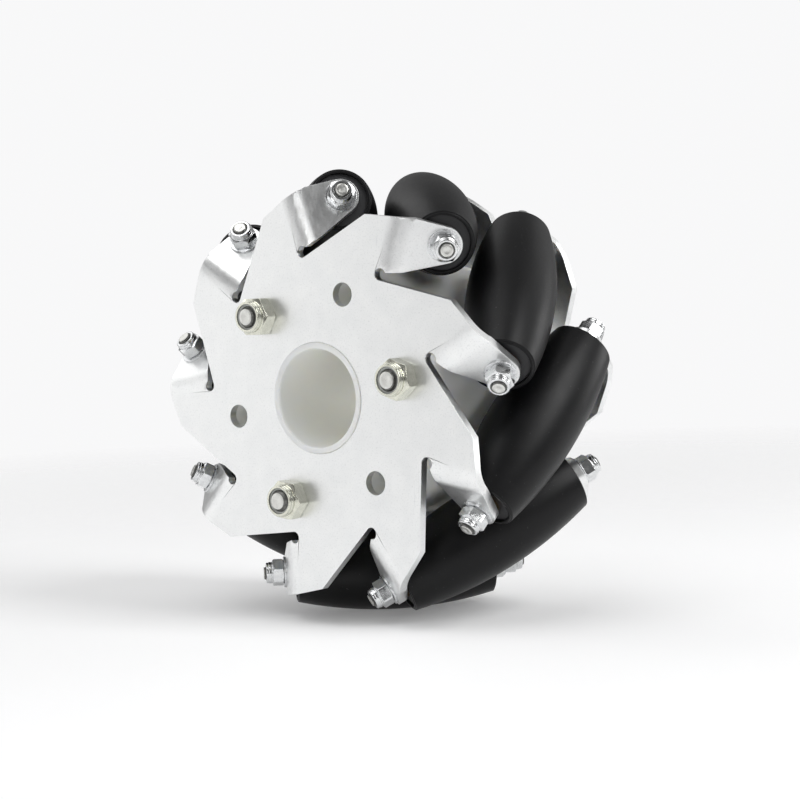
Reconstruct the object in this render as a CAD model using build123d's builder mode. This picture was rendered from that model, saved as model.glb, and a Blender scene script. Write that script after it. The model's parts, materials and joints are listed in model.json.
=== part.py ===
"""A 100 mm mecanum wheel: two folded aluminium plates hold nine barrel rollers at 45 degrees.

Frame: millimetres, +Z up, origin at the wheel's centre. The wheel turns about Y and the face with
the clamp nuts looks along -Y. Angles go clockwise from the top, seen from that face.
"""

from build123d import *
from math import asin, cos, hypot, pi, radians, sin, sqrt
import os

# ---------------------------------------------------------------- driving dimensions
wheel_r = 50.0
roller_count = 9
roller_pitch = 360 / roller_count
first_roller_angle = -20.0
axle_lean = 45.0
axle_circle_r = 40.2
half_width = 25.0

plate_t = 2.0
bend_inner_r = 6.0
bend_outer_r = bend_inner_r + plate_t
relief_r = 1.3
relief_circle_r = 32.1
lug_corner = (42.0, 0.8)
lug_edge_at_bend = 43.4
tab_edge_at_bend = 44.5
tab_root_at_bend = 32.7
tab_end_r = 4.0

hub_hole_r = 12.25
boss_r = 12.2
boss_proud = 0.3
hub_bore_r = 10.75
spacer_r = 28.7
spacer_edge_break = 0.6
bore_edge_break = 0.3

bolt_circle_r = 23.75
first_open_hole_angle = 20.0
first_clamp_angle = 80.0
clamp_pitch = 120.0
open_hole_r = 2.6
clamp_hole_r = 2.8

roller_half = 22.5
tyre_edge_round = 0.8
core_r = 6.0
core_recess = 0.5
core_bore_r = 2.0
bush_length = 8.0
bush_r = 2.6
bush_bore_r = 1.54
bush_flange_r = 3.6
bush_flange_t = 0.7

axle_r = 1.5
axle_half = 30.0
axle_end_break = 0.3
axle_hole_r = 1.6
washer_r = 3.5
washer_t = 0.5

clamp_bolt_r = 2.5
clamp_thread_r = 2.4
clamp_thread_length = 16.0
clamp_end_y = -30.4
clamp_end_break = 0.6
head_across_flats = 8.0
head_height = 3.5

# across flats, hexagon height, total height, collar radius, bore radius, insert seat radius
roller_nut_size = (5.5, 2.6, 4.0, 2.4, axle_r, 1.9)
clamp_nut_size = (8.0, 3.4, 5.0, 3.5, clamp_thread_r, 3.0)
insert_height = 1.2
insert_recess = 0.35

os.makedirs("parts", exist_ok=True)


# ---------------------------------------------------------------- places
def radial(angle):
    """Direction from the wheel's centre outwards at an angle clockwise from the top."""
    return Vector(sin(radians(angle)), 0, cos(radians(angle)))


def clockwise(angle):
    """Direction of travel round the wheel, clockwise seen from the clamp-nut face."""
    return Vector(cos(radians(angle)), 0, -sin(radians(angle)))


def axle_direction(angle):
    """A roller's axis, towards the clamp-nut face."""
    lean = radians(axle_lean)
    return clockwise(angle) * sin(lean) + Vector(0, -1, 0) * cos(lean)


def roller_centre(angle):
    return radial(angle) * axle_circle_r


def section_plane(angle):
    """Half section through a roller: local x is the radius and local y runs along the axle."""
    out = radial(angle)
    return Plane(origin=roller_centre(angle), x_dir=out, z_dir=out.cross(axle_direction(angle)))


def roller_axis(angle):
    return Axis(roller_centre(angle), axle_direction(angle))


def tab_plane(angle):
    """Outer face of a lug's tab, centred on the axle: local x runs away from the bend."""
    out = radial(angle)
    along = axle_direction(angle)
    return Plane(origin=roller_centre(angle) + along * half_width, x_dir=out.cross(along), z_dir=along)


def in_sector(out, along, angle):
    """A point of the plate's face, from its radial and clockwise distances in one roller's sector."""
    place = radial(angle) * out + clockwise(angle) * along
    return (place.X, place.Z)


def on_circle(radius, angle):
    return (radius * sin(radians(angle)), radius * cos(radians(angle)))


roller_angles = [first_roller_angle + roller_pitch * k for k in range(roller_count)]
open_hole_angles = [first_open_hole_angle + clamp_pitch * k for k in range(3)]
clamp_angles = [first_clamp_angle + clamp_pitch * k for k in range(3)]
front_face = Plane.XZ.offset(half_width)


# ---------------------------------------------------------------- plates
def touch_point(start, centre, radius, side):
    """Where a line from start touches a circle; side is 1 for the circle's left and -1 for its right."""
    to_centre = Vector(*centre) - Vector(*start)
    reach = sqrt(to_centre.length**2 - radius**2)
    turn = side * asin(radius / to_centre.length) * 180 / pi
    return Vector(*start) + to_centre.normalized().rotate(Axis.Z, turn) * reach


half_bend = radians(axle_lean / 2)
bend_setback = bend_outer_r * sin(half_bend) / cos(half_bend)
fold_from_axle = half_width * (sqrt(2) - 1)
bend_start = fold_from_axle - bend_setback
tab_start = bend_setback - fold_from_axle
relief_along = bend_start + relief_r
relief_out = sqrt(relief_circle_r**2 - relief_along**2)


def lug_outline(angle):
    """One ninth of the flat plate's outline: slot side, corner, outer edge and bend line."""
    previous = Vector(relief_out, relief_along).rotate(Axis.Z, -roller_pitch)
    slot_end = touch_point(lug_corner, (previous.X, previous.Y), relief_r, -1)
    corners = [
        (previous.X, previous.Y),
        (slot_end.X, slot_end.Y),
        lug_corner,
        (lug_edge_at_bend, bend_start),
        (relief_out, bend_start),
    ]
    return [in_sector(out, along, angle) for out, along in corners]


def bend_plane(angle, turn):
    """A cross-section of the fold: local x is radial and local y points out of the sheet's face."""
    out = radial(angle)
    bend_centre = clockwise(angle) * bend_start + Vector(0, bend_outer_r - half_width, 0)
    ahead = clockwise(angle).rotate(Axis((0, 0, 0), out), turn)
    return Plane(origin=bend_centre, x_dir=out, z_dir=ahead)


def sheet_section(low, high):
    """The sheet's cut from one edge of the lug to the other, on a bend plane."""
    middle = ((low + high) / 2, bend_outer_r - plate_t / 2)
    with Locations(middle):
        Rectangle(high - low, plate_t)


def tab_outline(angle):
    """The tab beyond the fold, ending in an arc round its axle hole."""
    root = (tab_start, tab_root_at_bend - axle_circle_r)
    edge = (tab_start, tab_edge_at_bend - axle_circle_r)
    inner = touch_point(root, (0, 0), tab_end_r, -1)
    outer = touch_point(edge, (0, 0), tab_end_r, 1)
    Polyline((inner.X, inner.Y), root, edge, (outer.X, outer.Y))
    ThreePointArc((outer.X, outer.Y), (tab_end_r, 0), (inner.X, inner.Y))


with BuildPart() as front_plate:
    with BuildSketch(front_face):
        with BuildLine():
            Polyline(*[point for angle in roller_angles for point in lug_outline(angle)], close=True)
        make_face()
    extrude(amount=-plate_t)
    for angle in roller_angles:
        flat_side = bend_plane(angle, 0)
        tab_side = bend_plane(angle, axle_lean)
        middle_r = bend_outer_r - plate_t / 2
        with BuildSketch(flat_side):
            sheet_section(relief_out, lug_edge_at_bend)
        with BuildSketch(tab_side):
            sheet_section(tab_root_at_bend, tab_edge_at_bend)
        with BuildLine() as fold:
            ThreePointArc(
                flat_side.from_local_coords((0, middle_r)),
                bend_plane(angle, axle_lean / 2).from_local_coords((0, middle_r)),
                tab_side.from_local_coords((0, middle_r)),
            )
        sweep(path=fold.wires()[0], multisection=True)
        with BuildSketch(tab_plane(angle)):
            with BuildLine():
                tab_outline(angle)
            make_face()
            Circle(axle_hole_r, mode=Mode.SUBTRACT)
        extrude(amount=-plate_t)
    with BuildSketch(front_face):
        with Locations(*[in_sector(relief_out, relief_along, angle) for angle in roller_angles]):
            Circle(relief_r)
    extrude(amount=-2 * plate_t, mode=Mode.SUBTRACT)
    with BuildSketch(front_face):
        Circle(hub_hole_r)
        with Locations(*[on_circle(bolt_circle_r, angle) for angle in open_hole_angles]):
            Circle(open_hole_r)
        with Locations(*[on_circle(bolt_circle_r, angle) for angle in clamp_angles]):
            Circle(clamp_hole_r)
    extrude(amount=-plate_t, mode=Mode.SUBTRACT)
front_plate.part.label = "front_plate"
export_step(front_plate.part, "parts/front_plate.step")

# the rear plate is the same stamping, turned over about the line through an open hole
turning_line = Axis((0, 0, 0), radial(first_open_hole_angle))
with BuildPart() as rear_plate:
    add(front_plate.part.rotate(turning_line, 180))
rear_plate.part.label = "rear_plate"
export_step(rear_plate.part, "parts/rear_plate.step")


# ---------------------------------------------------------------- hub spacer
with BuildPart() as hub_spacer:
    with BuildSketch(Plane.XZ):
        Circle(spacer_r)
    extrude(amount=half_width - plate_t, both=True)
    chamfer(hub_spacer.edges(), spacer_edge_break)
    with BuildSketch(Plane.XZ):
        Circle(boss_r)
    extrude(amount=half_width + boss_proud, both=True)
    with BuildSketch(Plane.XZ):
        Circle(hub_bore_r)
        with Locations(*[on_circle(bolt_circle_r, angle) for angle in open_hole_angles]):
            Circle(open_hole_r)
        with Locations(*[on_circle(bolt_circle_r, angle) for angle in clamp_angles]):
            Circle(clamp_hole_r)
    extrude(amount=2 * half_width, both=True, mode=Mode.SUBTRACT)
    end_faces = hub_spacer.faces().sort_by(Axis.Y)
    bore_mouths = [end_faces[side].inner_wires()[0].edge() for side in (0, -1)]
    chamfer(bore_mouths, bore_edge_break)
hub_spacer.part.label = "hub_spacer"
export_step(hub_spacer.part, "parts/hub_spacer.step")


# ---------------------------------------------------------------- fasteners
def through_plane(seat):
    """A plane through a seat's axis: local x stays the radius and local y runs up the axis."""
    return Plane(origin=seat.origin, x_dir=seat.x_dir, z_dir=seat.x_dir.cross(seat.z_dir))


def clamp_seat(angle):
    """Where a clamp nut sits on the front face; local z points away from the plate."""
    place = radial(angle) * bolt_circle_r - Vector(0, half_width, 0)
    return Plane(origin=place, x_dir=clockwise(angle), z_dir=(0, -1, 0))


def head_seat(angle):
    """Where a clamp bolt's head sits on the rear face; local z points away from the plate."""
    place = radial(angle) * bolt_circle_r + Vector(0, half_width, 0)
    return Plane(origin=place, x_dir=clockwise(angle), z_dir=(0, 1, 0))


def washer_seats(angle):
    """The outer faces of a roller's front and rear tab; local z points away from the tab."""
    front = tab_plane(angle)
    back_origin = roller_centre(angle) - axle_direction(angle) * half_width
    return [front, Plane(origin=back_origin, x_dir=front.x_dir, z_dir=-front.z_dir)]


def roller_nut_seats(angle):
    """Where a roller's two nuts sit, on their washers."""
    return [seat.offset(washer_t) for seat in washer_seats(angle)]


def ring(seat, outer_r, inner_r, thickness):
    """A flat ring lying on a seat."""
    with BuildPart() as disc:
        with BuildSketch(seat):
            Circle(outer_r)
            Circle(inner_r, mode=Mode.SUBTRACT)
        extrude(amount=thickness)
    return disc.part


def lock_nut(seat, size):
    """A lock nut's steel body: a hexagon with broken corners under a round collar with a rolled lip."""
    across_flats, hex_height, height, collar_r, bore_r, insert_r = size
    flat_r = across_flats / 2
    corner_r = across_flats / sqrt(3)
    corner_drop = (corner_r - flat_r) / 2
    lip_r = (height - hex_height) / 3
    lip_middle = (collar_r - lip_r * (1 - sin(pi / 4)), height - lip_r * (1 - cos(pi / 4)))
    with BuildPart() as nut:
        with BuildSketch(seat):
            RegularPolygon(flat_r, 6, major_radius=False)
        extrude(amount=height)
        with BuildSketch(through_plane(seat)):
            with BuildLine():
                Polyline(
                    (collar_r - lip_r, height),
                    (0, height),
                    (0, 0),
                    (flat_r, 0),
                    (corner_r, corner_drop),
                    (corner_r, hex_height - corner_drop),
                    (collar_r, hex_height),
                    (collar_r, height - lip_r),
                )
                ThreePointArc((collar_r, height - lip_r), lip_middle, (collar_r - lip_r, height))
            make_face()
        revolve(axis=Axis(seat.origin, seat.z_dir), mode=Mode.INTERSECT)
        with BuildSketch(seat):
            Circle(bore_r)
        extrude(amount=height, mode=Mode.SUBTRACT)
        with BuildSketch(seat.offset(height)):
            Circle(insert_r)
        extrude(amount=-(insert_height + insert_recess), mode=Mode.SUBTRACT)
    return nut.part


def nut_insert(seat, size):
    """The nylon ring held under the nut's lip."""
    height, bore_r, insert_r = size[2], size[4], size[5]
    return ring(seat.offset(height - insert_recess), insert_r, bore_r, -insert_height)


def clamp_bolt_solid(seat):
    """A hexagon-head bolt from the rear plate to just past its nut; the threaded end is slimmer."""
    flat_r = head_across_flats / 2
    corner_r = head_across_flats / sqrt(3)
    corner_drop = (corner_r - flat_r) / 2
    end = half_width - clamp_end_y
    with BuildPart() as bolt:
        with BuildSketch(seat):
            RegularPolygon(flat_r, 6, major_radius=False)
        extrude(amount=head_height)
        with BuildSketch(through_plane(seat)):
            with BuildLine():
                Polyline(
                    (0, 0),
                    (corner_r, 0),
                    (corner_r, head_height - corner_drop),
                    (flat_r, head_height),
                    (0, head_height),
                    close=True,
                )
            make_face()
        revolve(axis=Axis(seat.origin, seat.z_dir), mode=Mode.INTERSECT)
        with BuildSketch(through_plane(seat)):
            with BuildLine():
                Polyline(
                    (0, 0),
                    (clamp_bolt_r, 0),
                    (clamp_bolt_r, clamp_thread_length - end),
                    (clamp_thread_r, clamp_thread_length - end),
                    (clamp_thread_r, clamp_end_break - end),
                    (clamp_thread_r - clamp_end_break, -end),
                    (0, -end),
                    close=True,
                )
            make_face()
        revolve(axis=Axis(seat.origin, seat.z_dir))
    return bolt.part


for number, angle in enumerate(clamp_angles, 1):
    with BuildPart() as clamp_bolt:
        add(clamp_bolt_solid(head_seat(angle)))
    clamp_bolt.part.label = f"clamp_bolt_{number}"
    export_step(clamp_bolt.part, f"parts/clamp_bolt_{number}.step")

    with BuildPart() as clamp_nut:
        add(lock_nut(clamp_seat(angle), clamp_nut_size))
    clamp_nut.part.label = f"clamp_nut_{number}"
    export_step(clamp_nut.part, f"parts/clamp_nut_{number}.step")

with BuildPart() as clamp_nut_inserts:
    for angle in clamp_angles:
        add(nut_insert(clamp_seat(angle), clamp_nut_size))
clamp_nut_inserts.part.label = "clamp_nut_inserts"
export_step(clamp_nut_inserts.part, "parts/clamp_nut_inserts.step")

with BuildPart() as roller_nut_inserts:
    for angle in roller_angles:
        for seat in roller_nut_seats(angle):
            add(nut_insert(seat, roller_nut_size))
roller_nut_inserts.part.label = "roller_nut_inserts"
export_step(roller_nut_inserts.part, "parts/roller_nut_inserts.step")

with BuildPart() as roller_washers:
    for angle in roller_angles:
        for seat in washer_seats(angle):
            add(ring(seat, washer_r, axle_hole_r, washer_t))
roller_washers.part.label = "roller_washers"
export_step(roller_washers.part, "parts/roller_washers.step")


# ---------------------------------------------------------------- rollers
def crown_radius(along):
    """Radius of a roller that just fills the wheel's cylinder, at a distance along its axle."""
    lean = sin(radians(axle_lean))
    touch = along
    for _ in range(12):
        reach = hypot(axle_circle_r, touch * lean)
        slope = touch * lean**2 / reach
        touch = along - (wheel_r - reach) * slope
    return (wheel_r - reach) * sqrt(1 - slope**2)


def revolved(angle, corners):
    """A turned piece on a roller's axle, from its half section in (radius, along the axle) corners."""
    with BuildPart() as piece:
        with BuildSketch(section_plane(angle)):
            with BuildLine():
                Polyline(*corners, close=True)
            make_face()
        revolve(axis=roller_axis(angle))
    return piece.part


def tyre_solid(angle):
    """A rubber barrel with a straight bore for its core."""
    stations = [roller_half * (step / 4 - 1) for step in range(9)]
    end_r = crown_radius(roller_half)
    with BuildPart() as tyre:
        with BuildSketch(section_plane(angle)) as profile:
            with BuildLine():
                Spline(*[(crown_radius(along), along) for along in stations])
                Polyline(
                    (end_r, roller_half), (core_r, roller_half), (core_r, -roller_half), (end_r, -roller_half)
                )
            make_face()
        revolve(axis=roller_axis(angle))
        rims = tyre.edges().filter_by(GeomType.CIRCLE).group_by(SortBy.RADIUS)[-1]
        fillet(rims, tyre_edge_round)
    return tyre.part


def core_corners():
    """Half section of the nylon sleeve, with a seat for a bush at each end."""
    end = roller_half - core_recess
    seat_end = end - bush_length
    front_half = [(core_r, end), (bush_r, end), (bush_r, seat_end), (core_bore_r, seat_end)]
    return front_half + [(radius, -along) for radius, along in reversed(front_half)]


def bush_corners(side):
    """Half section of a flanged bush; side is 1 for the front end of the roller and -1 for the rear."""
    mouth = side * (roller_half - core_recess)
    inside = mouth - side * bush_length
    outside = mouth + side * bush_flange_t
    return [
        (bush_bore_r, inside),
        (bush_r, inside),
        (bush_r, mouth),
        (bush_flange_r, mouth),
        (bush_flange_r, outside),
        (bush_bore_r, outside),
    ]


def axle_corners():
    """Half section of a threaded stud with broken ends."""
    front_half = [(0, axle_half), (axle_r - axle_end_break, axle_half), (axle_r, axle_half - axle_end_break)]
    return front_half + [(radius, -along) for radius, along in reversed(front_half)]


for number, angle in enumerate(roller_angles, 1):
    with BuildPart() as roller_tyre:
        add(tyre_solid(angle))
    roller_tyre.part.label = f"roller_tyre_{number}"
    export_step(roller_tyre.part, f"parts/roller_tyre_{number}.step")

    with BuildPart() as roller_core:
        add(revolved(angle, core_corners()))
    roller_core.part.label = f"roller_core_{number}"
    export_step(roller_core.part, f"parts/roller_core_{number}.step")

    with BuildPart() as roller_bushes:
        for side in (1, -1):
            add(revolved(angle, bush_corners(side)))
    roller_bushes.part.label = f"roller_bushes_{number}"
    export_step(roller_bushes.part, f"parts/roller_bushes_{number}.step")

    with BuildPart() as roller_axle:
        add(revolved(angle, axle_corners()))
    roller_axle.part.label = f"roller_axle_{number}"
    export_step(roller_axle.part, f"parts/roller_axle_{number}.step")

    with BuildPart() as roller_nuts:
        for seat in roller_nut_seats(angle):
            add(lock_nut(seat, roller_nut_size))
    roller_nuts.part.label = f"roller_nuts_{number}"
    export_step(roller_nuts.part, f"parts/roller_nuts_{number}.step")
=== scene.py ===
import json
from math import cos, hypot, pi, radians, sin, sqrt, tan

import bmesh
import bpy
from mathutils import Matrix, Vector

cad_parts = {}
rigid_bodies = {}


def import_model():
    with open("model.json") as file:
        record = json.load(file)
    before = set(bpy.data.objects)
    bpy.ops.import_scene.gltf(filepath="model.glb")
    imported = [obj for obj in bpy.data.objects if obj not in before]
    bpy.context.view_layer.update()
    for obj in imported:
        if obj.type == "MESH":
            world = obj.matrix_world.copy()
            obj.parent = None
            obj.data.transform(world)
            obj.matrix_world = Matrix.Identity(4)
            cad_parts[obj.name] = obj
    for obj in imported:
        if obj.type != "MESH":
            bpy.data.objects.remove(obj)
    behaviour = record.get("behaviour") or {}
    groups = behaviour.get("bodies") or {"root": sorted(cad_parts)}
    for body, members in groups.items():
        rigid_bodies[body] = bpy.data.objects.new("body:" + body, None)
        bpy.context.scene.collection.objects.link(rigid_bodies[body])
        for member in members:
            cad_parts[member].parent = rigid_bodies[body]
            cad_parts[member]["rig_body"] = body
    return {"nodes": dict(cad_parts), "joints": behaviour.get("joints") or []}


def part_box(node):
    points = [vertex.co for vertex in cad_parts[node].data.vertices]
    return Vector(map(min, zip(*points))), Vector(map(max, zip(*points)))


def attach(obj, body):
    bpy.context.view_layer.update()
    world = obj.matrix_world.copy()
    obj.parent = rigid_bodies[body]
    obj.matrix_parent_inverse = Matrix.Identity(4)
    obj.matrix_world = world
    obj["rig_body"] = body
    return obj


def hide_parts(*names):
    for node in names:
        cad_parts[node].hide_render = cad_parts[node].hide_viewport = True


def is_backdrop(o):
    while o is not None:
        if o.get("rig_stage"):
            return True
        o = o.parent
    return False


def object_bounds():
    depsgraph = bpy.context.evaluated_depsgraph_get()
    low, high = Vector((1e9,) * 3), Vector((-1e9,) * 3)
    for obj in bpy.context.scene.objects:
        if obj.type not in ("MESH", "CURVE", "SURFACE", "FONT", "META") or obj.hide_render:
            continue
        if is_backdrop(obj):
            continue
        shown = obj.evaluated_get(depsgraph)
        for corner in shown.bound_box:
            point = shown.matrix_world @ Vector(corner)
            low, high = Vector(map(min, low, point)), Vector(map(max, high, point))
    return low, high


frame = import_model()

# A 100 mm mecanum wheel. The wheel turns about Y and its clamp nuts look along -Y. Rollers and clamp
# bolts are placed from the CAD model's joints and boxes. Sizes are in millimetres and angles in degrees,
# except those of the stage and its lights, which are in metres.

cad_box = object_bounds()
MM = 0.001

# ---------------------------------------------------------------- driving dimensions
wheel_r = 50.0
half_width = 25.0
plate_edge_r = 0.2
spacer_edge_r = 0.25
weld_distance = 2e-6
flat_angle = 0.2
hard_edge_angle = 35

roller_half = 22.5
tyre_bore_r = 6.0
tyre_rim_r = 0.8
# inner radius, outer radius and height of the raised ring round a tyre's bore
tyre_ring = (6.1, 6.55, 0.18)
tyre_side_steps = 20
tyre_rim_depth = 2.2
tyre_turns = 128
washer_t = 0.5
washer_r = 3.5
washer_bore_r = 1.6

stud_r = 1.5
stud_half = 30.0
stud_pitch = 0.5
stud_thread = 1.8
stud_shank_inset = 2.1
stud_end_break = 0.14
# radius and depth of the shallow dimple in a threaded end
stud_dimple = (0.75, 0.1)
stud_turns = 48

clamp_r = 2.4
clamp_end = -30.4
clamp_pitch = 0.8
clamp_thread = 2.6
clamp_shank_inset = 2.9
clamp_end_break = 0.6
clamp_dimple = (1.2, 0.08)
# across flats, height
clamp_head = (8.0, 3.5)
head_dish = 0.12
# the section's first spans make the flat end of a threaded shank; the rest are thread
end_spans = 5

# across flats, hexagon height, total height, collar radius, bore radius, insert seat radius
roller_nut = (5.5, 2.6, 4.0, 2.4, 1.5, 1.9)
clamp_nut = (8.0, 3.4, 5.0, 3.5, 2.4, 3.0)
clamp_nut_turns = (0.0, 12.0, 20.0)
insert_height = 1.2
insert_recess = 0.35
hexagon_wear_angle = 28.3
chamfer_slope = tan(radians(30))

view_azimuth = 37.60
view_elevation = 4.59
view_distance = 435.3
view_shift = (2.775, -2.061)
view_tilt = -0.285
wheel_turn = 2.41
view_lens = 85.77
view_sensor = 36
view_clip_start = 0.01

wall_light = 0.3
dark_light = 0.12
dark_side = (0.62, -0.70, 0.35)
dark_reach = (0.1, 0.95)
backdrop_colour = (0.94, 0.94, 0.945, 1)

floor_r = 1.4
floor_fade = (0.18, 0.55)
floor_glow = 0.16

# name, direction from the wheel, distance in metres, size in metres, radiance
softboxes = (
    ("front_left", (-0.86, -0.50, 0.12), 0.84, (0.62, 0.7), 0.80),
    ("front_fill", (-0.45, -0.88, 0.15), 0.9, (0.5, 0.6), 0.46),
    ("front_key", (0.28, -0.93, 0.24), 0.9, (0.25, 0.35), 3.0),
    ("upper_left", (-0.76, 0.05, 0.66), 0.8, (0.6, 0.6), 1.0),
    ("overhead", (-0.02, -0.38, 0.92), 0.9, (0.6, 0.6), 2.2),
    ("right", (0.80, 0.08, 0.6), 0.85, (0.3, 0.6), 7.5),
    ("rear_low", (0.5, 0.85, 0.14), 0.9, (0.4, 0.35), 3.0),
    ("back", (0.3, 0.8, 0.5), 0.9, (0.6, 0.5), 0.6),
)


# ---------------------------------------------------------------- places
def along_axis(origin, axis, across):
    """A frame in metres with its local z on axis and its local x as near across as it can be."""
    z = axis.normalized()
    y = z.cross(across).normalized()
    x = y.cross(z)
    turn = Matrix((x, y, z)).transposed().to_4x4()
    return Matrix.Translation(origin) @ turn


def node_centre(name):
    low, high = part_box(name)
    return (low + high) / 2


joints = {joint["child"]: joint for joint in frame["joints"]}
roller_bodies = sorted(joints)


def roller_frame(body, side):
    """A roller's frame at its own centre; local z runs to its front end, or to its rear if side is -1."""
    joint = joints[body]
    centre = Vector(joint["pos_m"])
    axis = Vector(joint["axis"]) * side
    return along_axis(centre, axis, centre)


def lifted(place, height, turn=0.0):
    """The same frame moved up its own axis by a height in millimetres, then turned on it."""
    return place @ Matrix.Translation((0, 0, height * MM)) @ Matrix.Rotation(radians(turn), 4, "Z")


# ---------------------------------------------------------------- meshes
def rounded(corners, sizes, steps=3, closed=True):
    """A section with each corner cut back by its size and replaced by a smooth curve of steps spans."""
    count = len(corners)
    out = []
    for n, corner in enumerate(corners):
        here = Vector(corner)
        size = sizes[n] if isinstance(sizes, (list, tuple)) else sizes
        if size == 0 or (not closed and n in (0, count - 1)):
            out.append(tuple(here))
            continue
        back = Vector(corners[n - 1]) - here
        ahead = Vector(corners[(n + 1) % count]) - here
        cut = min(size, back.length * 0.48, ahead.length * 0.48)
        start = here + back.normalized() * cut
        end = here + ahead.normalized() * cut
        for step in range(steps + 1):
            t = step / steps
            point = start * (1 - t) ** 2 + here * 2 * t * (1 - t) + end * t**2
            out.append(tuple(point))
    return out


def even_turns(steps):
    return [2 * pi * step / steps for step in range(steps)]


def hexagon_turns():
    """Stations round a hexagon: even along each flat, with one at each worn corner."""
    stations = [-28, -21, -14, -7, 0, 7, 14, 21, 28, 30]
    return [radians(60 * side + station) for side in range(6) for station in stations]


def hexagon_radius(flat_r, turn):
    """Distance from the axis to a hexagon with lightly worn corners."""
    off = (turn + pi / 6) % (pi / 3) - pi / 6
    return flat_r / cos(min(abs(off), radians(hexagon_wear_angle)))


def turned(place, section, turns, closed=True, tint=None):
    """A section swept round the local z axis of a place, as (points, faces, material numbers).

    section(turn) lists (radius, height) in millimetres; an open one starts and ends on the axis.
    """
    rings = [section(turn) for turn in turns]
    count = len(rings[0])
    points = [
        place @ Vector((radius * cos(turn) * MM, radius * sin(turn) * MM, height * MM))
        for turn, ring in zip(turns, rings)
        for radius, height in ring
    ]
    faces = []
    tints = []
    for a in range(len(turns)):
        b = (a + 1) % len(turns)
        for n in range(count if closed else count - 1):
            m = (n + 1) % count
            faces.append((a * count + n, b * count + n, b * count + m, a * count + m))
            tints.append(tint(n) if tint else 0)
    return points, faces, tints


def made(name, shapes, materials, node):
    """One piece from several shapes; it stands for a CAD node and rides on that node's body."""
    points, faces, tints = [], [], []
    for shape_points, shape_faces, shape_tints in shapes:
        first = len(points)
        points += shape_points
        faces += [tuple(first + corner for corner in face) for face in shape_faces]
        tints += shape_tints
    mesh = bpy.data.meshes.new(name)
    mesh.from_pydata(points, [], faces)
    for material in materials:
        mesh.materials.append(material)
    mesh.polygons.foreach_set("material_index", tints)
    built = bmesh.new()
    built.from_mesh(mesh)
    bmesh.ops.remove_doubles(built, verts=built.verts, dist=1e-7)
    bmesh.ops.recalc_face_normals(built, faces=built.faces)
    built.to_mesh(mesh)
    built.free()
    mesh.shade_smooth()
    piece = bpy.data.objects.new(name, mesh)
    bpy.context.scene.collection.objects.link(piece)
    even_shading(piece)
    seat(piece, node)
    return piece


def even_shading(piece):
    """Lets the large faces set the shading, so that flats stay flat beside their rounded edges."""
    weighted = piece.modifiers.new("shading", "WEIGHTED_NORMAL")
    weighted.mode = "FACE_AREA"
    weighted.weight = 100


def seat(piece, node):
    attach(piece, frame["nodes"][node]["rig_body"])
    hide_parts(node)


def softened_copy(name, node, material, edge_r):
    """A copy of a CAD node's mesh with flat faces joined up and every hard edge rounded."""
    mesh = frame["nodes"][node].data.copy()
    mesh.name = name
    built = bmesh.new()
    built.from_mesh(mesh)
    bmesh.ops.remove_doubles(built, verts=built.verts, dist=weld_distance)
    bmesh.ops.dissolve_limit(
        built,
        angle_limit=radians(flat_angle),
        verts=built.verts,
        edges=built.edges,
        use_dissolve_boundaries=False,
    )
    built.to_mesh(mesh)
    built.free()
    mesh.materials.clear()
    mesh.materials.append(material)
    mesh.polygons.foreach_set("material_index", [0] * len(mesh.polygons))
    mesh.shade_smooth()
    piece = bpy.data.objects.new(name, mesh)
    bpy.context.scene.collection.objects.link(piece)
    bevel = piece.modifiers.new("edges", "BEVEL")
    bevel.width = edge_r * MM
    bevel.segments = 2
    bevel.limit_method = "ANGLE"
    bevel.angle_limit = radians(hard_edge_angle)
    bevel.use_clamp_overlap = True
    even_shading(piece)
    seat(piece, node)
    return piece


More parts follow.
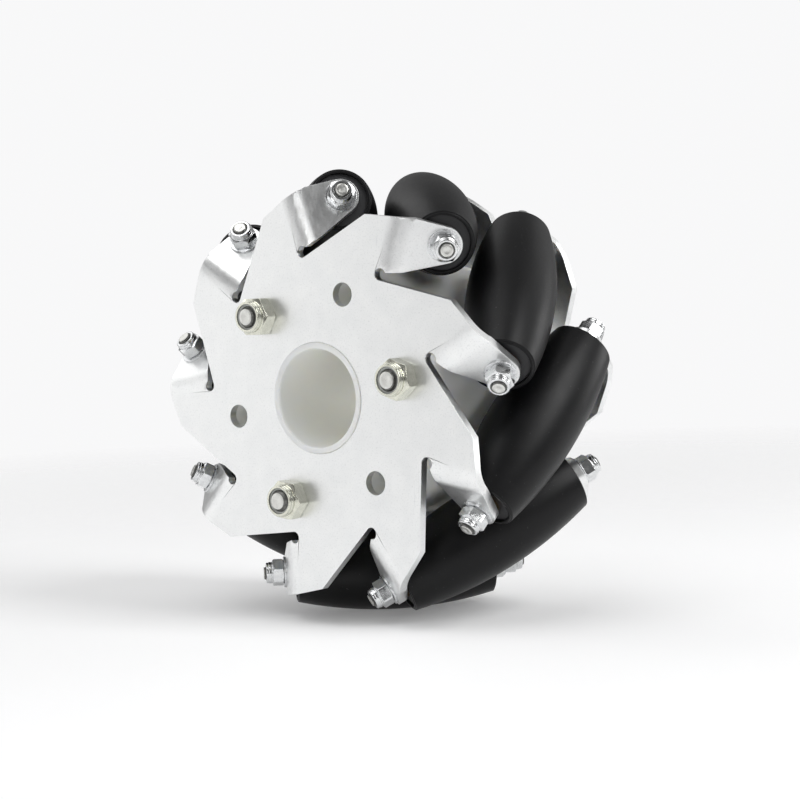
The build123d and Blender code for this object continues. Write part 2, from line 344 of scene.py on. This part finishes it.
# ---------------------------------------------------------------- material nodes
class Paint:
    """A material under construction: one Principled shader and the nodes that feed it."""

    def __init__(self, name, **sockets):
        self.material = bpy.data.materials.new(name)
        self.material.use_nodes = True
        self.tree = self.material.node_tree
        self.shader = self.tree.nodes["Principled BSDF"]
        for socket, value in sockets.items():
            self.shader.inputs[socket.replace("_", " ")].default_value = value
        self.place = self.tree.nodes.new("ShaderNodeTexCoord").outputs["Object"]

    def node(self, kind, **settings):
        made_node = self.tree.nodes.new("ShaderNode" + kind)
        for setting, value in settings.items():
            setattr(made_node, setting, value)
        return made_node

    def link(self, output, socket):
        self.tree.links.new(output, socket)

    def stretched(self, scale):
        """Object coordinates with a scale for each direction."""
        mapping = self.node("Mapping")
        mapping.inputs["Scale"].default_value = scale
        self.link(self.place, mapping.inputs["Vector"])
        return mapping.outputs["Vector"]

    def noise(self, scale, detail=3.0, roughness=0.5, where=None):
        texture = self.node("TexNoise")
        texture.inputs["Scale"].default_value = scale
        texture.inputs["Detail"].default_value = detail
        texture.inputs["Roughness"].default_value = roughness
        self.link(where or self.place, texture.inputs["Vector"])
        return texture.outputs["Fac"]

    def ramp(self, value, stops):
        """Colours or greys spread over a value; stops are (position, colour)."""
        ramp = self.node("ValToRGB")
        elements = ramp.color_ramp.elements
        while len(elements) < len(stops):
            elements.new(0.5)
        for element, (position, colour) in zip(elements, stops):
            element.position = position
            element.color = (*colour, 1) if isinstance(colour, tuple) else (colour, colour, colour, 1)
        self.link(value, ramp.inputs["Fac"])
        return ramp.outputs["Color"]

    def levels(self, value, low, high, start=0.0, end=1.0):
        """A value from start..end mapped to low..high."""
        spread = self.node("MapRange")
        spread.inputs["From Min"].default_value = start
        spread.inputs["From Max"].default_value = end
        spread.inputs["To Min"].default_value = low
        spread.inputs["To Max"].default_value = high
        self.link(value, spread.inputs["Value"])
        return spread.outputs["Result"]

    def math(self, kind, a, b):
        node = self.node("Math", operation=kind)
        for socket, value in zip(node.inputs, (a, b)):
            if isinstance(value, (int, float)):
                socket.default_value = value
            else:
                self.link(value, socket)
        return node.outputs["Value"]

    def mix(self, factor, a, b, blend="MIX"):
        node = self.node("Mix", data_type="RGBA", blend_type=blend)
        colours = [socket for socket in node.inputs if socket.type == "RGBA"]
        self.link(factor, node.inputs["Factor"])
        for socket, value in zip(colours, (a, b)):
            if isinstance(value, tuple):
                socket.default_value = (*value, 1)
            else:
                self.link(value, socket)
        return [socket for socket in node.outputs if socket.type == "RGBA"][0]

    def bump(self, height, depth, strength=1.0, under=None):
        """Relief of a depth in millimetres, over an earlier relief if there is one."""
        node = self.node("Bump")
        node.inputs["Distance"].default_value = depth * MM
        node.inputs["Strength"].default_value = strength
        self.link(height, node.inputs["Height"])
        if under:
            self.link(under, node.inputs["Normal"])
        return node.outputs["Normal"]

    def feed(self, colour=None, roughness=None, normal=None):
        for socket, output in (("Base Color", colour), ("Roughness", roughness), ("Normal", normal)):
            if output is not None:
                self.link(output, self.shader.inputs[socket])
        return self.material


# ---------------------------------------------------------------- materials
def sheet_aluminium():
    """Satin aluminium sheet: faint vertical rolling grain, mottling, small pits and a few fine scuffs."""
    paint = Paint("sheet_aluminium", Metallic=1.0)
    grain = paint.noise(1.0, 4, 0.6, paint.stretched((2600, 2600, 130)))
    mottle = paint.noise(160, 4, 0.6)
    scuff_lines = paint.noise(1.0, 2, 0.5, paint.stretched((900, 900, 60)))
    scuff_where = paint.noise(70, 3, 0.6)
    scuffs = paint.math(
        "MULTIPLY",
        paint.levels(scuff_lines, 0, 1, 0.68, 0.75),
        paint.levels(scuff_where, 0, 1, 0.56, 0.62),
    )
    colour = paint.ramp(mottle, [(0.25, (0.83, 0.84, 0.84)), (0.75, (0.91, 0.915, 0.91))])
    colour = paint.mix(scuffs, colour, (0.76, 0.77, 0.78))
    pits = paint.noise(2600, 3, 0.6)
    colour = paint.mix(paint.levels(pits, 0, 0.6, 0.54, 0.72), colour, (0.66, 0.67, 0.67))
    rough = paint.math(
        "ADD", paint.levels(mottle, 0.30, 0.38, 0.2, 0.8), paint.levels(grain, -0.05, 0.05, 0.3, 0.7)
    )
    relief = paint.bump(grain, 0.012, 0.7)
    relief = paint.bump(mottle, 0.02, 0.25, relief)
    relief = paint.bump(pits, 0.012, 0.5, relief)
    return paint.feed(colour, rough, relief)


def zinc(name, light, dark, rough_low, rough_high):
    """Zinc plating: bright and slightly uneven, with dull specks."""
    paint = Paint(name, Metallic=1.0)
    cloud = paint.noise(900, 4, 0.6)
    specks = paint.levels(paint.noise(5200, 2, 0.5), 0, 1, 0.62, 0.7)
    colour = paint.ramp(cloud, [(0.3, dark), (0.7, light)])
    colour = paint.mix(specks, colour, tuple(channel * 0.72 for channel in dark))
    rough = paint.levels(cloud, rough_low, rough_high, 0.3, 0.7)
    relief = paint.bump(paint.noise(2600, 3, 0.6), 0.012, 0.5)
    return paint.feed(colour, rough, relief)


def thread_shade_steel():
    """Thread flanks, duller than the plated faces, with a dark colour that is painted shade in the thread
    grooves.
    """
    paint = Paint("thread_shade_steel", Metallic=1.0)
    cloud = paint.noise(1500, 4, 0.6)
    colour = paint.ramp(cloud, [(0.3, (0.10, 0.10, 0.10)), (0.8, (0.32, 0.32, 0.30))])
    rough = paint.levels(cloud, 0.35, 0.6, 0.3, 0.7)
    return paint.feed(colour, rough, paint.bump(cloud, 0.02, 0.4))


def tyre_rubber():
    """Satin black moulded rubber with a fine grain and a breath of dust."""
    paint = Paint("tyre_rubber", Specular_IOR_Level=0.24)
    grain = paint.noise(4200, 4, 0.65)
    patch = paint.noise(90, 4, 0.6)
    dust = paint.levels(paint.noise(1500, 2, 0.5), 0, 1, 0.7, 0.78)
    colour = paint.ramp(patch, [(0.3, (0.0018, 0.0018, 0.0022)), (0.75, (0.0036, 0.0036, 0.0043))])
    colour = paint.mix(paint.math("MULTIPLY", dust, 0.35), colour, (0.09, 0.09, 0.09))
    rough = paint.math(
        "ADD", paint.levels(patch, 0.38, 0.45, 0.3, 0.7), paint.levels(grain, -0.05, 0.05, 0.3, 0.7)
    )
    relief = paint.bump(grain, 0.02, 0.5)
    relief = paint.bump(patch, 0.1, 0.15, relief)
    return paint.feed(colour, rough, relief)


def nylon(name, light, dark, soft):
    """Machined nylon: a matt, slightly waxy surface with faint turning lines and clouding."""
    paint = Paint(
        name,
        Subsurface_Weight=soft,
        Subsurface_Radius=(1.0, 0.9, 0.7),
        Subsurface_Scale=0.004,
        Specular_IOR_Level=0.45,
    )
    cloud = paint.noise(110, 4, 0.55)
    lines = paint.noise(1.0, 2, 0.5, paint.stretched((60, 2600, 60)))
    colour = paint.ramp(cloud, [(0.3, dark), (0.7, light)])
    rough = paint.levels(cloud, 0.42, 0.55, 0.3, 0.7)
    relief = paint.bump(lines, 0.012, 0.5)
    return paint.feed(colour, rough, relief)


def brass():
    paint = Paint("bush_brass", Metallic=1.0)
    cloud = paint.noise(700, 4, 0.6)
    colour = paint.ramp(cloud, [(0.3, (0.16, 0.11, 0.06)), (0.7, (0.26, 0.19, 0.11))])
    rough = paint.levels(cloud, 0.25, 0.4, 0.3, 0.7)
    return paint.feed(colour, rough, paint.bump(paint.noise(3000, 3, 0.6), 0.01, 0.4))


plate_material = sheet_aluminium()
nut_material = zinc("zinc_bright", (0.82, 0.83, 0.83), (0.66, 0.67, 0.68), 0.12, 0.24)
clamp_material = zinc("zinc_warm", (0.78, 0.78, 0.69), (0.62, 0.62, 0.53), 0.14, 0.26)
cut_material = zinc("cut_steel", (0.78, 0.78, 0.75), (0.64, 0.64, 0.61), 0.28, 0.42)
washer_material = zinc("zinc_washer", (0.80, 0.81, 0.82), (0.64, 0.65, 0.66), 0.22, 0.34)
# the thread flanks' dark colour is painted shade in the grooves
thread_shade_material = thread_shade_steel()
rubber_material = tyre_rubber()
spacer_material = nylon("spacer_nylon", (0.97, 0.97, 0.92), (0.94, 0.94, 0.88), 0.6)
core_material = nylon("core_nylon", (0.030, 0.030, 0.032), (0.016, 0.016, 0.018), 0.0)
insert_material = nylon("insert_nylon", (0.62, 0.63, 0.60), (0.50, 0.51, 0.48), 0.2)
bush_material = brass()


# ---------------------------------------------------------------- fasteners
def lock_nut(place, size):
    """A lock nut: a worn-cornered hexagon, a round collar and a lip rolled over its nylon ring."""
    across_flats, hex_height, height, collar_r, bore_r, insert_r = size
    flat_r = across_flats / 2
    face_r = flat_r * 0.96
    insert_floor = height - insert_recess - insert_height
    rise = height - hex_height
    inside_top = height - insert_recess * 0.45

    def section(turn):
        side_r = hexagon_radius(flat_r, turn)
        drop = (side_r - face_r) * chamfer_slope
        corners = [
            (bore_r + 0.25, 0),
            (face_r, 0),
            (side_r, drop),
            (side_r, hex_height - drop),
            (collar_r + 0.1, hex_height),
            (collar_r - 0.04, hex_height + rise * 0.1),
            (collar_r + 0.06, hex_height + rise * 0.25),
            (collar_r + 0.04, hex_height + rise * 0.55),
            (collar_r - 0.08, hex_height + rise * 0.62),
            (collar_r - 0.05, height),
            (insert_r - 0.15, height),
            (insert_r - 0.15, inside_top),
            (insert_r, inside_top - 0.05),
            (insert_r, insert_floor),
            (bore_r, insert_floor),
            (bore_r, 0.25),
        ]
        sizes = [0, 0.1, 0.09, 0.09, 0.05, 0.08, 0.08, 0.08, 0.05, rise * 0.33, 0.16, 0.05, 0, 0, 0, 0]
        return rounded(corners, sizes, 4)

    return turned(place, section, hexagon_turns())


def insert_ring(place, size):
    """The nylon ring under a nut's lip, with a rounded inner edge where the thread pressed through."""
    height, bore_r, insert_r = size[2], size[4], size[5]
    top = height - insert_recess
    bottom = top - insert_height
    corners = [(bore_r, bottom), (insert_r, bottom), (insert_r, top), (bore_r, top)]
    return turned(place, lambda turn: rounded(corners, [0, 0, 0, 0.22]), even_turns(48))


def threaded(radius, pitch, height, turn):
    """A thread's radius at a height, for a helix with rounded crests and roots."""
    phase = (height / pitch - turn / (2 * pi)) % 1
    depth = pitch * 0.55
    return radius - depth * (0.5 + 0.5 * cos(2 * pi * phase)) ** 1.3


def thread_run(radius, pitch, length, end_break, dimple):
    """Section of a threaded end from the axis outwards, as a function of the turn; height 0 is the end."""
    dimple_r, dimple_depth = dimple
    levels = [end_break + n * pitch / 8 for n in range(int((length - end_break) / pitch * 8))]

    def section(turn):
        points = [(0, -dimple_depth), (dimple_r * 0.5, -dimple_depth * 0.72), (dimple_r * 0.9, -0.01)]
        points += [(dimple_r, 0), (radius - end_break - 0.06, 0), (radius - end_break, -0.04)]
        points += [(threaded(radius, pitch, level, turn), -level) for level in levels]
        return points

    return section


def stud(place, side_length):
    """A threaded stud; its thread is cut where its ends show."""
    run = thread_run(stud_r, stud_pitch, stud_thread, stud_end_break, stud_dimple)

    def section(turn):
        front = [(radius, side_length + height) for radius, height in run(turn)]
        rear = [(radius, -side_length - height) for radius, height in reversed(run(turn))]
        shank_end = side_length - stud_shank_inset
        return front + [(stud_r, shank_end), (stud_r, -shank_end)] + rear

    points_in_run = len(run(0))
    total = 2 * points_in_run + 2

    def tint(n):
        # spans past the end take the thread material, whose dark colour is painted shade
        from_end = min(n, total - 2 - n)
        return 2 if from_end < end_spans else 1

    return turned(place, section, even_turns(stud_turns), False, tint)


def clamp_bolt(place):
    """A hexagon-head bolt; local z points out of its head and height 0 is under the head."""
    across_flats, head_height = clamp_head
    flat_r = across_flats / 2
    face_r = flat_r * 0.95
    length = half_width - clamp_end
    run = thread_run(clamp_r, clamp_pitch, clamp_thread, clamp_end_break, clamp_dimple)

    def section(turn):
        side_r = hexagon_radius(flat_r, turn)
        drop = (side_r - face_r) * chamfer_slope
        corners = [
            (0, head_height - head_dish),
            (flat_r * 0.62, head_height - head_dish),
            (flat_r * 0.7, head_height),
            (face_r, head_height),
            (side_r, head_height - drop),
            (side_r, drop * 0.3),
            (face_r, 0),
            (clamp_r, 0),
            (clamp_r, clamp_shank_inset - length),
        ]
        head = rounded(corners, [0, 0.1, 0.1, 0.12, 0.1, 0.1, 0.1, 0, 0], 3, False)
        return head + [(radius, -length - height) for radius, height in reversed(run(turn))]

    total = len(section(0))

    def tint(n):
        # thread spans take the thread material, whose dark colour is painted shade
        from_end = total - 2 - n
        if from_end < end_spans:
            return 2
        return 1 if from_end < len(run(0)) else 0

    return turned(place, section, hexagon_turns(), False, tint)


def washer(place):
    corners = [(washer_bore_r, 0), (washer_r, 0), (washer_r, washer_t), (washer_bore_r, washer_t)]
    return turned(place, lambda turn: rounded(corners, 0.1), even_turns(64))


washers = []
inserts = []
for number, body in enumerate(roller_bodies, 1):
    node = body.split("_")[-1]
    nuts = []
    for side in (1, -1):
        tab_face = lifted(roller_frame(body, side), half_width)
        nut_seat = lifted(tab_face, washer_t, 17 * number + 40 * side)
        nuts.append(lock_nut(nut_seat, roller_nut))
        inserts.append(insert_ring(nut_seat, roller_nut))
        washers.append(washer(tab_face))
    made(f"lock_nuts_{node}", nuts, [nut_material], f"roller_nuts_{node}")
    made(
        f"stud_{node}",
        [stud(roller_frame(body, 1), stud_half)],
        [nut_material, thread_shade_material, cut_material],
        f"roller_axle_{node}",
    )
made("washers", washers, [washer_material], "roller_washers")
made("nut_rings", inserts, [insert_material], "roller_nut_inserts")

clamp_rings = []
for number in (1, 2, 3):
    centre = node_centre(f"clamp_nut_{number}")
    front = along_axis(Vector((centre.x, -half_width * MM, centre.z)), Vector((0, -1, 0)), centre)
    rear = along_axis(Vector((centre.x, half_width * MM, centre.z)), Vector((0, 1, 0)), centre)
    nut_seat = lifted(front, 0, clamp_nut_turns[number - 1])
    made(
        f"clamp_lock_nut_{number}",
        [lock_nut(nut_seat, clamp_nut)],
        [clamp_material],
        f"clamp_nut_{number}",
    )
    made(
        f"clamp_screw_{number}",
        [clamp_bolt(lifted(rear, 0, 31 * number))],
        [clamp_material, thread_shade_material, cut_material],
        f"clamp_bolt_{number}",
    )
    clamp_rings.append(insert_ring(nut_seat, clamp_nut))
made("clamp_nut_rings", clamp_rings, [insert_material], "clamp_nut_inserts")


# ---------------------------------------------------------------- plates and spacer
for side in ("front", "rear"):
    softened_copy(f"{side}_sheet", f"{side}_plate", plate_material, plate_edge_r)
softened_copy("hub_barrel", "hub_spacer", spacer_material, spacer_edge_r)


# ---------------------------------------------------------------- rollers
axle_circle_r = Vector(frame["joints"][0]["pos_m"]).length / MM
lean = hypot(frame["joints"][0]["axis"][0], frame["joints"][0]["axis"][2])


def crown_radius(along):
    """Radius of a roller that just fills the wheel's cylinder, at a distance along its axle."""
    touch = along
    for _ in range(12):
        reach = hypot(axle_circle_r, touch * lean)
        slope = touch * lean**2 / reach
        touch = along - (wheel_r - reach) * slope
    return (wheel_r - reach) * sqrt(1 - slope**2)


def tyre(place):
    """A moulded rubber barrel: crowned side, rounded rims, and a raised ring round the bore at each end."""
    inner, outer, height = tyre_ring
    end_r = crown_radius(roller_half)
    inside = roller_half - tyre_rim_depth
    stations = [inside * (step / tyre_side_steps - 1) for step in range(2 * tyre_side_steps + 1)]
    top = roller_half + height
    end = [
        (end_r, roller_half),
        (outer + 0.12, roller_half),
        (outer, top),
        (inner, top),
        (tyre_bore_r, roller_half),
    ]
    end_sizes = [tyre_rim_r, 0.1, 0.08, 0.08, 0.05]
    side = [(crown_radius(along), along) for along in stations]
    corners = side + end + [(radius, -along) for radius, along in reversed(end)]
    sizes = [0] * len(side) + end_sizes + list(reversed(end_sizes))
    return turned(place, lambda turn: rounded(corners, sizes, 5), even_turns(tyre_turns))


for body in roller_bodies:
    node = body.split("_")[-1]
    made(
        f"tyre_{node}",
        [tyre(roller_frame(body, 1))],
        [rubber_material],
        f"roller_tyre_{node}",
    )
    for part, material in (("roller_core", core_material), ("roller_bushes", bush_material)):
        shown = frame["nodes"][f"{part}_{node}"]
        for slot_number in range(len(shown.material_slots)):
            shown.material_slots[slot_number].material = material


# ---------------------------------------------------------------- camera
azimuth = radians(view_azimuth)
elevation = radians(view_elevation)
back = Vector((sin(azimuth) * cos(elevation), -cos(azimuth) * cos(elevation), sin(elevation)))
right = Vector((cos(azimuth), sin(azimuth), 0))
up = back.cross(right)
level = Matrix((right, up, back)).transposed()
tilted = level @ Matrix.Rotation(radians(view_tilt), 3, "Z")
eye = (back * view_distance + tilted @ Vector((*view_shift, 0))) * MM
roll = Matrix.Rotation(radians(wheel_turn), 3, "Y")
camera = bpy.data.objects.new("camera", bpy.data.cameras.new("camera"))
camera.data.lens = view_lens
camera.data.sensor_width = view_sensor
camera.data.clip_start = view_clip_start
camera.matrix_world = Matrix.Translation(roll @ eye) @ (roll @ tilted).to_4x4()
bpy.context.scene.collection.objects.link(camera)
bpy.context.scene.camera = camera


# ---------------------------------------------------------------- stage and light
def floor():
    """A pale floor that fades out at its rim, so that no horizon shows."""
    mesh = bpy.data.meshes.new("floor")
    built = bmesh.new()
    bmesh.ops.create_circle(built, cap_ends=True, segments=96, radius=floor_r)
    built.to_mesh(mesh)
    built.free()
    paint = Paint("floor_paper", Roughness=0.6, Specular_IOR_Level=0.2, Emission_Strength=floor_glow)
    paint.shader.inputs["Emission Color"].default_value = (1, 1, 1, 1)
    fibre = paint.noise(220, 4, 0.6)
    colour = paint.ramp(fibre, [(0.3, (0.84, 0.84, 0.845)), (0.7, (0.86, 0.86, 0.865))])
    distance = paint.node("VectorMath", operation="LENGTH")
    paint.link(paint.place, distance.inputs[0])
    fade = paint.levels(distance.outputs["Value"], 1, 0, *floor_fade)
    paint.link(fade, paint.shader.inputs["Alpha"])
    mesh.materials.append(paint.feed(colour))
    ground = bpy.data.objects.new("floor", mesh)
    ground.location = (0, 0, -wheel_r * MM)
    bpy.context.scene.collection.objects.link(ground)
    ground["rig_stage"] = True


def softbox(name, direction, distance, size, radiance):
    """A rectangular light facing the wheel's centre, from its direction, distance and size in metres."""
    data = bpy.data.lights.new(name, "AREA")
    data.shape = "RECTANGLE"
    data.size, data.size_y = size
    data.energy = radiance * pi * size[0] * size[1]
    lamp = bpy.data.objects.new(name, data)
    lamp.location = Vector(direction).normalized() * distance
    lamp.rotation_euler = (-lamp.location).to_track_quat("-Z", "Y").to_euler()
    bpy.context.scene.collection.objects.link(lamp)


def studio():
    """Grey walls for light and reflections, and a plain pale background behind the wheel."""
    world = bpy.data.worlds.new("studio")
    bpy.context.scene.world = world
    world.use_nodes = True
    nodes, links = world.node_tree.nodes, world.node_tree.links
    walls = nodes["Background"]
    direction = nodes.new("ShaderNodeTexCoord").outputs["Generated"]
    towards = nodes.new("ShaderNodeVectorMath")
    towards.operation = "DOT_PRODUCT"
    towards.inputs[1].default_value = Vector(dark_side).normalized()
    links.new(direction, towards.inputs[0])
    shade = nodes.new("ShaderNodeMapRange")
    shade.interpolation_type = "SMOOTHSTEP"
    shade.inputs["From Min"].default_value, shade.inputs["From Max"].default_value = dark_reach
    shade.inputs["To Min"].default_value = wall_light
    shade.inputs["To Max"].default_value = dark_light
    links.new(towards.outputs["Value"], shade.inputs["Value"])
    links.new(shade.outputs["Result"], walls.inputs["Color"])
    paper = nodes.new("ShaderNodeBackground")
    paper.inputs["Color"].default_value = backdrop_colour
    path = nodes.new("ShaderNodeLightPath")
    mix = nodes.new("ShaderNodeMixShader")
    links.new(path.outputs["Is Camera Ray"], mix.inputs[0])
    links.new(walls.outputs[0], mix.inputs[1])
    links.new(paper.outputs[0], mix.inputs[2])
    links.new(mix.outputs[0], nodes["World Output"].inputs["Surface"])


floor()
studio()
for box in softboxes:
    softbox(*box)
bpy.context.scene.view_settings.view_transform = "Standard"


boxes = [[list(corner) for corner in box] for box in (cad_box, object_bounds())]
